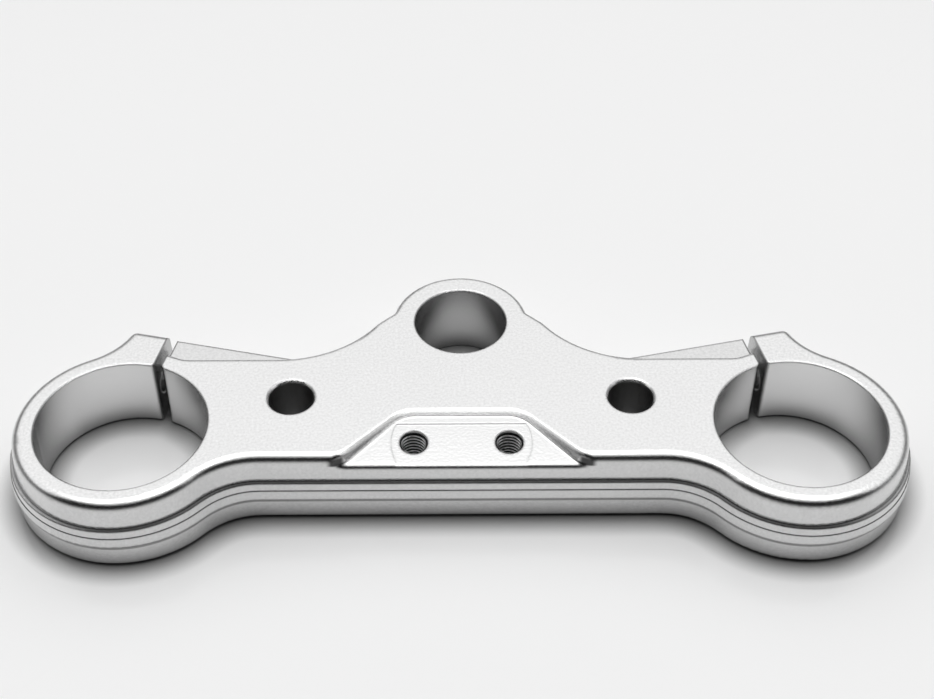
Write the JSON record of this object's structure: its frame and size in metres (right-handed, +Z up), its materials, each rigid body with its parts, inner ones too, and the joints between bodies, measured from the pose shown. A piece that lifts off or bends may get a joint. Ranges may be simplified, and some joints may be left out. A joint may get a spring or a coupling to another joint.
{
  "type": "motorcycle triple clamp",
  "caption": "Upper triple clamp of a motorcycle: one aluminium yoke with slit fork clamps, a stem bore, handlebar mount holes and a shallow instrument pocket.",
  "frame": {"origin": "on the axis of the steering stem bore, at the bottom face of the clamp", "axes": "+Z up along the steering stem, +X to the right along the line of the two fork bores, +Y backwards from the fork bores to the stem"},
  "size_m": [0.2642, 0.1003, 0.024],
  "materials": {
    "aluminium": "fine satin, blasted outside and turned in the bores"
  },
  "bodies": {
    "root": {"triple_clamp": "aluminium"}
  },
  "joints": []
}
